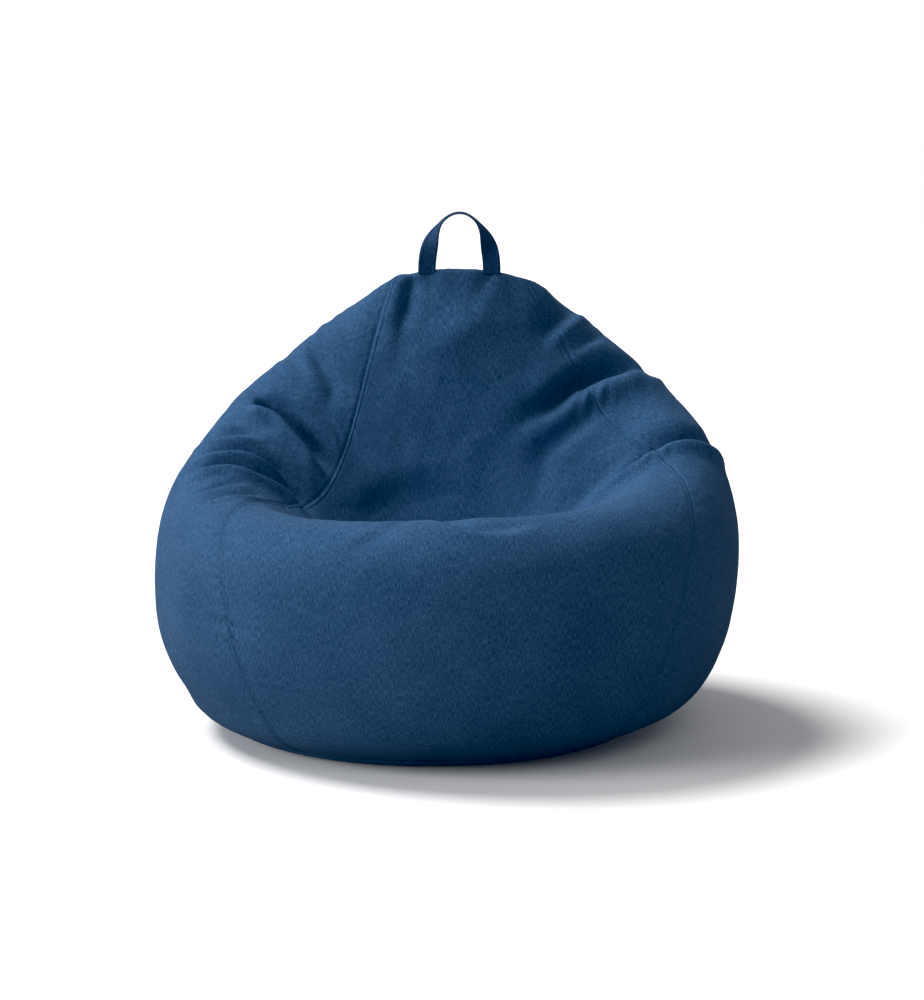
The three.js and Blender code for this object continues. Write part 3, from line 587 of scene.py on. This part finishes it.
def panelRelief(points, normals, azimuth, level, seamDistance, seamRun, awayFromEnds):
    relief = foldsRelief(points, normals)
    turn = np.abs((azimuth + 540) % 360 - 180)
    atZip = smooth(166, 176, turn) * smooth(0.06, 0.14, level) * (1 - smooth(0.58, 0.68, level))
    loose = 0.35 + 0.65 * smooth(0.42, 0.62, level)  # the cloth is taut low down, where the beads push out
    wave = cloth["wave"] * driftNoise(points, 0.11, 1) * loose
    crumple = cloth["crumple"] * (driftNoise(points, 0.034, 2) + 0.6 * driftNoise(points, 0.017, 3)) * loose
    groove = -cloth["groove"] * np.exp(-((seamDistance / cloth["grooveWidth"]) ** 2))
    balloon = cloth["balloon"] * (1 - np.exp(-seamDistance / 0.05)) - 0.5 * cloth["balloon"]
    ripple = np.sin(2 * math.pi * seamRun / cloth["puckerPitch"] + 5 * driftNoise(points, 0.09, 4))
    patchy = smooth(-0.15, 0.45, driftNoise(points, 0.07, 5)) * (0.25 + 0.75 * loose) * awayFromEnds
    fromStart = seamDistance - cloth["puckerStart"]
    growth = seamDistance / cloth["puckerStart"]
    growth = np.where(fromStart < 0, growth, np.exp(-((fromStart / cloth["puckerReach"]) ** 2)))
    pucker = cloth["pucker"] * ripple * patchy * growth
    calm = 1 - atZip
    return (relief + wave + crumple + pucker) * calm + groove + balloon * calm


# The panels of the cover

panels = dict(
    front_panel=(seams["frontLeft"], seams["frontRight"]),
    right_side_panel=(seams["frontRight"], seams["rearRight"]),
    back_right_panel=(seams["rearRight"], seams["back"]),
    back_left_panel=(-seams["back"], seams["rearLeft"]),
    left_side_panel=(seams["rearLeft"], seams["frontLeft"]),
)


def evenLevels(count):
    # Levels spaced so that the rows are about equally far apart over the front, the side and the back.
    fine = np.linspace(0, 1, 600)
    steps = sum(np.linalg.norm(np.diff(bagPoint(a, fine), axis=0), axis=1) for a in (0.0, 90.0, -90.0, 180.0))
    travelled = np.concatenate([[0], np.cumsum(steps)])
    return np.interp(np.linspace(0, travelled[-1], count), travelled, fine)


def zipGap(level):
    low, high = zipper["bottomLevel"], zipper["topLevel"]
    return zipper["slotHalf"] * smooth(low - 0.012, low, level) * (1 - smooth(high, high + 0.012, level))


def gridObject(name, points):
    # A grid with its corners at the given points, and the row and column of each corner.
    rows, columns = points.shape[:2]
    bm = bmesh.new()
    bmesh.ops.create_grid(bm, x_segments=columns - 1, y_segments=rows - 1, size=1)
    piece = newPiece(name, bm)
    flat = np.empty(len(piece.data.vertices) * 3)
    piece.data.vertices.foreach_get("co", flat)
    flat = flat.reshape(-1, 3)
    column = np.rint((flat[:, 0] + 1) / 2 * (columns - 1)).astype(int)
    row = np.rint((flat[:, 1] + 1) / 2 * (rows - 1)).astype(int)
    piece.data.vertices.foreach_set("co", np.asarray(points[row, column], np.float32).ravel())
    piece.data.update()
    return piece, row, column


def weld(piece, gap=2e-5):
    # Closes the seam where a grid's ends meet, and its poles.
    bm = bmesh.new()
    bm.from_mesh(piece.data)
    bmesh.ops.remove_doubles(bm, verts=bm.verts, dist=gap)
    bm.to_mesh(piece.data)
    bm.free()


def mapCloth(piece, cornerUv):
    layer = piece.data.uv_layers.new(name="cloth")
    corner = np.empty(len(piece.data.loops), int)
    piece.data.loops.foreach_get("vertex_index", corner)
    layer.data.foreach_set("uv", np.asarray(cornerUv, np.float32)[corner].ravel())


def standsFor(piece, node, body):
    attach(piece, body)
    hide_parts(node)


def finishCloth(piece, material, node, thickness):
    piece.data.materials.append(materials[material])
    piece.data.shade_smooth()
    if thickness:
        wall = piece.modifiers.new("clothThickness", "SOLIDIFY")
        wall.thickness = thickness
        wall.offset = -1
        wall.use_quality_normals = True
    standsFor(piece, node, "bag")


def runLength(points, axis):
    steps = np.linalg.norm(np.diff(points, axis=axis), axis=-1)
    start = np.zeros_like(np.take(steps, [0], axis=axis))
    return np.concatenate([start, np.cumsum(steps, axis=axis)], axis=axis)


welt = dict(rise=0.0008, channel=0.0009, channelWidth=0.0016,
            columns=(0, 0.0012, 0.0025, 0.004, 0.0055, 0.0070, 0.0085, 0.0105, 0.013, 0.0165))
stitchedSides = dict(front_panel=("left", "right"), right_side_panel=("right",), back_right_panel=("right",),
                     back_left_panel=("left",), left_side_panel=("left",))

levels = evenLevels(250)
sewn = {}


def bordered(grid):
    return np.pad(grid, ((1, 1), (1, 1), (0, 0)), mode="edge")


def withFlange(points, normals):
    # The allowance turned inwards along every seam, as one more row and column at each edge.
    grown = bordered(points)
    drop = bordered(normals) * cloth["flange"]
    edge = np.ones(grown.shape[:2] + (1,))
    edge[1:-1, 1:-1] = 0
    return grown - drop * edge


def unevenShares(width):
    # Column places from 0 to 1, close together beside the two seams.
    near = np.array(welt["columns"]) / width
    middle = np.linspace(near[-1], 1 - near[-1], int(round((1 - 2 * near[-1]) * width / cloth["cell"])))
    return np.concatenate([near[:-1], middle, 1 - near[-2::-1]])


def weltRelief(node, fromLeft, fromRight):
    # The allowance under the cloth beside a topstitched seam, and the channel that its stitches pull in.
    relief = 0 * fromLeft
    for side in stitchedSides[node]:
        distance = fromLeft if side == "left" else fromRight
        raised = smooth(0, 0.002, distance) * (1 - smooth(0.0055, 0.0075, distance))
        channel = np.exp(-(((distance - cloth["topstitch"]) / welt["channelWidth"]) ** 2))
        relief = relief + welt["rise"] * raised - welt["channel"] * channel
    return relief


def makePanel(node, span):
    widest = np.ptp(runLength(bagPoint(np.linspace(*span, 40), 0.35)[None], 1))
    share = unevenShares(widest)
    columns = len(share)
    azimuth = span[0] + (span[1] - span[0]) * share[None, :] + 0 * levels[:, None]
    level = levels[:, None] + 0 * azimuth
    backEdge = 1 if span[1] == 180 else -1 if span[0] == -180 else 0
    if backEdge:  # the two back panels stand apart along the zip
        radius = np.linalg.norm(bagPoint(178.0, levels) - bagPoint(180.0, levels), axis=1) / math.radians(2)
        turn = np.degrees(zipGap(levels) / radius)[:, None]
        azimuth = azimuth - backEdge * turn * (share if backEdge == 1 else 1 - share)[None, :] ** 4
    points = bagPoint(azimuth, level)
    normals = bagNormal(azimuth, level)
    along, up = runLength(points, 1), runLength(points, 0)
    total = along[:, -1:]
    sideGap = np.minimum(along, total - along)
    endGap = np.minimum(up, up[-1:] - up)
    seamDistance = np.minimum(sideGap, endGap)
    seamRun = np.where(along < total / 2, up[:, :1], up[:, -1:])  # measured along the nearer seam
    awayFromEnds = smooth(0.01, 0.09, endGap)  # only the upright seams are puckered
    relief = panelRelief(points, normals, azimuth, level, seamDistance, seamRun, awayFromEnds)
    relief = relief + weltRelief(node, along, total - along)
    shaped = points + normals * relief[..., None]
    middle = along[:, columns // 2 : columns // 2 + 1]
    climbed = up.mean(axis=1)[:, None] + 0 * along  # the cross threads follow the rows
    piece, row, column = gridObject(node + "_cloth", withFlange(shaped, normals))
    threads = bordered(np.stack([along - middle, climbed], -1))
    mapCloth(piece, threads[row, column])
    finishCloth(piece, "cloth", node, cloth["thickness"])
    sewn[node] = dict(points=shaped, along=along, up=up)
    return piece


def makeDisc(node, levelFrom, levelTo, rings, spokes=220):
    # A round panel, from its seam to its middle.
    azimuth = np.linspace(-180, 180, spokes + 1)[None, :] + np.zeros((rings, 1))
    level = np.linspace(levelFrom, levelTo, rings)[:, None] + 0 * azimuth
    points, normals = bagPoint(azimuth, level), bagNormal(azimuth, level)
    up, along = runLength(points, 0), runLength(points, 1)
    if levelTo > 1:
        fromBack = np.minimum(along, along[:, -1:] - along)
        relief = panelRelief(points, normals, azimuth, level, up, fromBack, 0.5)
        relief[:, -1] = relief[:, 0]
        relief *= 1 - smooth(1.6, 2, level)
    else:
        groove = cloth["groove"] * np.exp(-((up / cloth["grooveWidth"]) ** 2))
        relief = -groove * smooth(0, 0.006, points[..., 2])
    shaped = points + normals * relief[..., None]
    shaped[..., 2] = np.maximum(shaped[..., 2], 0)
    piece, row, column = gridObject(node + "_cloth", shaped)
    mapCloth(piece, points[row, column][:, :2])
    weld(piece)
    if levelTo < levelFrom:  # the rows run the other way under the bag
        piece.data.flip_normals()
    finishCloth(piece, "cloth", node, cloth["thickness"])
    sewn[node] = dict(points=shaped, along=along, up=up)
    return piece


# The inner bag and its beads, kept clear of the deepest folds

inside = dict(linerDrop=0.014, floorDrop=0.003, linerWall=0.001, beadGap=0.0013, zipRoom=0.006,
              clearOfFolds=0.006, spokes=240, floorRows=20, sideRows=158, topRows=12)


def innerForm(extraDrop, room):
    floor = np.linspace(-1, 0, inside["floorRows"] + 1)[:-1]
    top = np.linspace(1, 2, inside["topRows"] + 1)[1:]
    level = np.concatenate([floor, evenLevels(inside["sideRows"]), top])[:, None]
    azimuth = np.linspace(-180, 180, inside["spokes"] + 1)[None, :] + 0 * level
    level = level + 0 * azimuth
    points, normals = bagPoint(azimuth, level), bagNormal(azimuth, level)
    deep = foldsRelief(points, normals)
    for _ in range(2):  # the deepest of the neighbours, so that no fold slips between two corners
        across = np.minimum(np.roll(deep[:, :-1], 1, 1), np.roll(deep[:, :-1], -1, 1))
        deep[:, :-1] = np.minimum(deep[:, :-1], across)
        deep[:, -1] = deep[:, 0]
        deep[1:-1] = np.minimum(deep[1:-1], np.minimum(deep[:-2], deep[2:]))
    for _ in range(3):
        deep[1:-1] = (deep[:-2] + 2 * deep[1:-1] + deep[2:]) / 4
    drop = inside["floorDrop"] + (inside["linerDrop"] - inside["floorDrop"]) * smooth(-0.35, -0.1, level)
    drop = drop + np.maximum(0, -deep - inside["clearOfFolds"]) + extraDrop
    turn = np.abs(azimuth)
    drop = drop + room * smooth(168, 177, turn) * smooth(0, 0.08, level) * (1 - smooth(0.6, 0.7, level))
    return azimuth, level, points - normals * drop[..., None]


def makeInnerPiece(node, extraDrop, room, material, slitted):
    azimuth, level, points = innerForm(extraDrop, room)
    if slitted:  # its own zip opens it at the back
        gap = zipGap(level) * (smooth(176.5, 180, azimuth) - smooth(176.5, 180, -azimuth))
        points[..., 0] += gap
    piece, *_ = gridObject(node + "_layer", points)
    weld(piece)
    finishCloth(piece, material, node, inside["linerWall"] if slitted else 0)
    return piece, runLength(points, 1)[:, -1].max(), runLength(points, 0)[-1].max()


def makeInside():
    liner, girth, rise = makeInnerPiece("inner_bag", 0, 0, "liner", True)
    extra = inside["linerWall"] + inside["beadGap"]
    beads, *_ = makeInnerPiece("bead_fill", extra, inside["zipRoom"], "beads", False)


# The topstitching

stitch = dict(length=0.0036, pitch=0.0052, width=0.0009, height=0.0007, lift=0.0002, rounding=0.0003,
              aside=0.003)  # how far in the line is that shows which way a stitch faces


def rowAtDistance(node, side, distance):
    # The line that runs `distance` inside a panel's left, right, low or high edge, and one further in.
    points, along, up = (sewn[node][key] for key in ("points", "along", "up"))
    if side in ("low", "high"):
        points, along = points.swapaxes(0, 1), up.T
    lines = []
    for inset in (distance, distance + stitch["aside"]):
        line = []
        for places, run in zip(points, along):
            run = run if side in ("left", "low") else run[-1] - run
            order = np.argsort(run)
            line.append([np.interp(inset, run[order], places[order, axis]) for axis in range(3)])
        lines.append(np.array(line))
    return lines


def addBox(bm, centre, directions, size):
    turned = Matrix(directions).transposed().to_4x4()
    matrix = Matrix.Translation(centre) @ turned @ Matrix.Diagonal((*size, 1))
    bmesh.ops.create_cube(bm, size=1, matrix=matrix)


def addStitches(bm, line, inner, flip, lift=stitch["lift"]):
    run = runLength(line, 0)
    count = int(run[-1] / stitch["pitch"])
    places = (np.arange(count) + 0.5) * stitch["pitch"]

    def along(path, ahead):
        return np.stack([np.interp(places + ahead, run, path[:, axis]) for axis in range(3)], -1)

    centre = along(line, 0)
    tangent = unit(along(line, 0.001) - centre)
    across = along(inner, 0) - centre
    across = unit(across - tangent * np.sum(across * tangent, axis=1, keepdims=True))
    normal = np.cross(tangent, across) * flip
    size = (stitch["length"], stitch["width"], stitch["height"])
    for c, t, a, n in zip(centre, tangent, across, normal):
        addBox(bm, c + n * (lift + stitch["height"] / 2), (t, a, n), size)


def easeEdges(piece, name, width, segments=1):
    ease = piece.modifiers.new(name, "BEVEL")
    ease.width = width
    ease.segments = segments
    return ease


def threadPiece(name, bm):
    piece = newPiece(name, bm)
    piece.data.materials.append(materials["thread"])
    return piece


def makeStitching():
    bm = bmesh.new()
    flips = dict(left=1, right=-1, low=-1, high=1)
    rows = [(node, side) for node, sides in stitchedSides.items() for side in sides]
    rows += [(node, side) for side in ("low", "high") for node in panels]
    for node, side in rows:
        addStitches(bm, *rowAtDistance(node, side, cloth["topstitch"]), flips[side])
    piece = threadPiece("topstitching", bm)
    piece.data.shade_smooth()
    easeEdges(piece, "roundThread", stitch["rounding"])
    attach(piece, "bag")
    print("topstitching", len(piece.data.polygons) // 6, "stitches")


# The carrying strap

strap = dict(width=0.026, thickness=0.0026, sunk=0.006, turnFrom=0.15, turnTo=0.95, rows=120, across=22,
             edgeStitch=0.0035, edgeRounding=0.0008, crown=0.0006, stitchSink=0.0007, ripple=0.0004,
             stiffDown=0.004, stiffUp=0.012)


def strapPath():
    low, high = (np.array(corner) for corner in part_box("handle_loop"))
    foot = np.array(joints["handle_fold"]["pos_m"])
    halfSpread = (high[0] - low[0] - strap["width"]) / 2 - 0.0005
    angle = np.linspace(0, math.pi, strap["rows"])
    sine, cosine = np.sin(angle), np.cos(angle)
    rise = high[2] - foot[2] - strap["thickness"] / 2
    middle = np.stack([foot[0] + halfSpread * cosine, foot[1] + 0 * angle, foot[2] + rise * sine], -1)
    tangent = unit(np.stack([-halfSpread * sine, 0 * angle, rise * cosine], -1))
    outwards = np.stack([tangent[:, 2], 0 * angle, -tangent[:, 0]], -1)
    twist = (math.pi / 2 * smooth(strap["turnFrom"], strap["turnTo"], sine))[:, None]
    flat = outwards * np.cos(twist) + np.array([0, 1, 0]) * np.sin(twist)
    tail = np.array([[0, 0, -strap["sunk"]]])
    middle = np.concatenate([middle[:1] + tail, middle, middle[-1:] + tail])
    flat = np.concatenate([flat[:1], flat, flat[-1:]])
    return middle, flat, unit(np.cross(np.gradient(middle, axis=0), flat))


def makeStrap():
    middle, flat, thick = strapPath()
    share = np.linspace(-1, 1, strap["across"])
    points = middle[:, None] + flat[:, None] * (share * strap["width"] / 2)[None, :, None]
    run = runLength(middle, 0)
    edge = strap["width"] / 2 * (1 - np.abs(share))
    sink = strap["stitchSink"] * np.exp(-(((edge - strap["edgeStitch"]) / stitch["width"]) ** 2))
    crown = strap["crown"] * (1 - share**4) - sink
    ripple = np.array([[noise.noise(Vector((u * 45, s * 2, 3.1))) for s in share] for u in run])
    points = points + thick[:, None] * (crown[None, :] + strap["ripple"] * ripple)[..., None]
    piece, row, column = gridObject("handle_strap", points)
    mapCloth(piece, np.stack([share[column] * strap["width"] / 2, run[row]], -1))
    piece.data.materials.append(materials["strap"])
    piece.data.shade_smooth()
    wall = piece.modifiers.new("strapThickness", "SOLIDIFY")
    wall.thickness = strap["thickness"]
    wall.offset = 0
    easeEdges(piece, "strapEdges", strap["edgeRounding"], 2).limit_method = "ANGLE"
    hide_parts("handle_loop")
    bendAtFoot(piece)
    bm = bmesh.new()
    for edge in (-1, 1):
        inset = strap["width"] / 2 - strap["edgeStitch"]
        for side in (-1, 1):
            surface = thick * side * (strap["thickness"] / 2 - 0.0005)
            line = middle + flat * edge * inset + surface
            inner = middle + flat * edge * (inset - stitch["aside"]) + surface
            addStitches(bm, line, inner, side * edge)
    bendAtFoot(threadPiece("strap_stitching", bm))
    print(f"strap: {run[-1]:.3f} m long")


def bendAtFoot(piece):
    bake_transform(piece)


# The cover's zip, its patches and the care label

zipParts = dict(tapeFrom=0.0016, tapeTo=0.0146, tapeWall=0.001, tapeRise=-0.0023,
                toothPitch=0.0017, toothFrom=0.0004, toothTo=0.0031, toothLength=0.0011, toothHeight=0.0019,
                toothSunk=0.00005, toothRounding=0.0004,
                patchHalf=0.0112, patchWall=0.0011, patchLift=0.0004, patchCrown=0.0005, metalBevel=0.00025,
                patchStitchLift=-0.00052)  # low enough for the pull to pass
careLabel = dict(azimuth=150, footLevel=0.015, width=0.030, length=0.048, wall=0.0005, lift=0.0009,
                 curl=0.0030, ripple=0.0012)


def zipAngles(node):
    low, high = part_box(node)
    return [math.asin((z - zipCentre[2]) / zipRadius) for z in (low[2], high[2])]


def zipPoint(x, rise, angle):
    r = zipRadius + np.asarray(rise, float)
    x, r, angle = np.broadcast_arrays(np.asarray(x, float), r, angle)
    return np.stack([x, zipCentre[1] + r * np.cos(angle), zipCentre[2] + r * np.sin(angle)], -1)


def stripOnZip(node, x, angles, rise, wall, material, columns, rows, crown=0.0):
    across = np.linspace(*x, columns)[None, :]
    angle = np.linspace(*angles, rows)[:, None]
    share = np.linspace(-1, 1, columns)[None, :]
    lift = rise + crown * (1 - share**2) + 0 * angle
    points = zipPoint(across + 0 * angle, lift, angle + 0 * across)
    piece, row, column = gridObject(node + "_strip", points)
    run = runLength(points, 0)
    mapCloth(piece, np.stack([(across + 0 * angle)[row, column], run[row, column]], -1))
    piece.data.flip_normals()  # x runs the other way round at the back
    finishCloth(piece, material, node, wall)
    return points


def makeTeeth(node, side, angles):
    bm = bmesh.new()
    step = zipParts["toothPitch"] / zipRadius
    middle = side * (zipParts["toothFrom"] + zipParts["toothTo"]) / 2
    size = (zipParts["toothTo"] - zipParts["toothFrom"], zipParts["toothHeight"], zipParts["toothLength"])
    across = Vector((1, 0, 0))
    start = angles[0] + step * (0.25 if side < 0 else 0.75)
    for angle in np.arange(start, angles[1], step):
        out = Vector((0, math.cos(angle), math.sin(angle)))
        centre = zipPoint(middle, -zipParts["toothHeight"] / 2 - zipParts["toothSunk"], angle)
        addBox(bm, centre, (across, out, across.cross(out)), size)
    piece = newPiece(node + "_coil", bm)
    piece.data.materials.append(materials["nylon"])
    piece.data.shade_smooth()
    easeEdges(piece, "roundTeeth", zipParts["toothRounding"])
    standsFor(piece, node, "bag")


def makeZipMetal(node, body):
    # A copy of a metal CAD piece with its corners merged and its edges eased.
    bm = bmesh.new()
    bm.from_mesh(frame["nodes"][node].data)
    bmesh.ops.remove_doubles(bm, verts=bm.verts, dist=1e-6)
    bmesh.ops.dissolve_limit(bm, angle_limit=math.radians(1), verts=bm.verts, edges=bm.edges)
    piece = newPiece(node + "_eased", bm)
    piece.data.materials.append(materials["metal"])
    easeEdges(piece, "easedEdges", zipParts["metalBevel"], 2).limit_method = "ANGLE"
    standsFor(piece, node, body)


def makeZip():
    angles = zipAngles("zip_teeth_left")
    tape = zipAngles("zip_tape_left")
    for side, name in ((-1, "left"), (1, "right")):
        x = sorted((side * zipParts["tapeFrom"], side * zipParts["tapeTo"]))
        stripOnZip("zip_tape_" + name, x, tape, zipParts["tapeRise"], zipParts["tapeWall"], "tape",
                   8, 120)
        makeTeeth("zip_teeth_" + name, side, angles)
        makeZipMetal("zip_top_stop_" + name, "bag")
    makeZipMetal("zip_bottom_stop", "bag")
    makeZipMetal("zip_slider", "zip_runner")
    makeZipMetal("zip_pull", "zip_pull")
    x = (-zipParts["patchHalf"], zipParts["patchHalf"])
    lift = zipParts["patchLift"] + zipParts["patchWall"]
    bm = bmesh.new()
    for node in ("zip_top_patch", "zip_bottom_patch"):
        points = stripOnZip(node, x, zipAngles(node), lift, zipParts["patchWall"], "cloth", 18, 18,
                            zipParts["patchCrown"])
        for line, inner, flip in ((points[3], points[5], -1), (points[-4], points[-6], 1),
                                  (points[:, 2], points[:, 4], 1), (points[:, -3], points[:, -5], -1)):
            addStitches(bm, line, inner, flip, zipParts["patchStitchLift"])
    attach(threadPiece("patch_stitching", bm), "bag")


def makeCareLabel():
    # A blank ribbon, sewn on along its top edge, with its free end standing off a little.
    columns, rows = 14, 22
    radius = np.linalg.norm(bagPoint(149.0, 0.06) - bagPoint(151.0, 0.06)) / 2  # metres for one degree
    azimuth = careLabel["azimuth"] + np.linspace(0, careLabel["width"] / radius, columns)[None, :]
    rise = np.linalg.norm(bagPoint(150.0, 0.1) - bagPoint(150.0, 0.0)) / 0.1
    level = careLabel["footLevel"] + np.linspace(0, careLabel["length"] / rise, rows)[:, None]
    azimuth, level = azimuth + 0 * level, level + 0 * azimuth
    share = np.linspace(1, 0, rows)[:, None]
    ripple = careLabel["ripple"] * share * np.sin(azimuth * 0.9)
    lift = careLabel["lift"] + careLabel["curl"] * share**2 + ripple
    points = bagPoint(azimuth, level) + bagNormal(azimuth, level) * lift[..., None]
    piece, *_ = gridObject("care_label_ribbon", points)
    finishCloth(piece, "label", "care_label", careLabel["wall"])
    bm = bmesh.new()
    addStitches(bm, points[-2], points[-4], 1)
    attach(threadPiece("label_stitching", bm), "bag")


# The CAD pieces that stay, with their materials

stayingNodes = dict(
    handle_tail_left="strap", handle_tail_right="strap",
    inner_zip_tape_left="tape", inner_zip_tape_right="tape",
    inner_zip_teeth_left="nylon", inner_zip_teeth_right="nylon",
    inner_zip_top_stop_left="metal", inner_zip_top_stop_right="metal",
    inner_zip_bottom_stop="metal", inner_zip_slider="metal",
)


def dressNode(node, material):
    piece = frame["nodes"][node]
    piece.data.materials.clear()
    piece.data.materials.append(materials[material])


makeCamera()
makeMaterials()
makeStudio()
print("studio ready")
for node, span in panels.items():
    makePanel(node, span)
makeDisc("top_cap", 1.0, 2.0, 26)
makeDisc("base_panel", 0.0, -1.0, 60)
makeInside()
makeStitching()
makeStrap()
makeZip()
makeCareLabel()
for node, material in stayingNodes.items():
    dressNode(node, material)
print("zip, label and inner zip dressed")
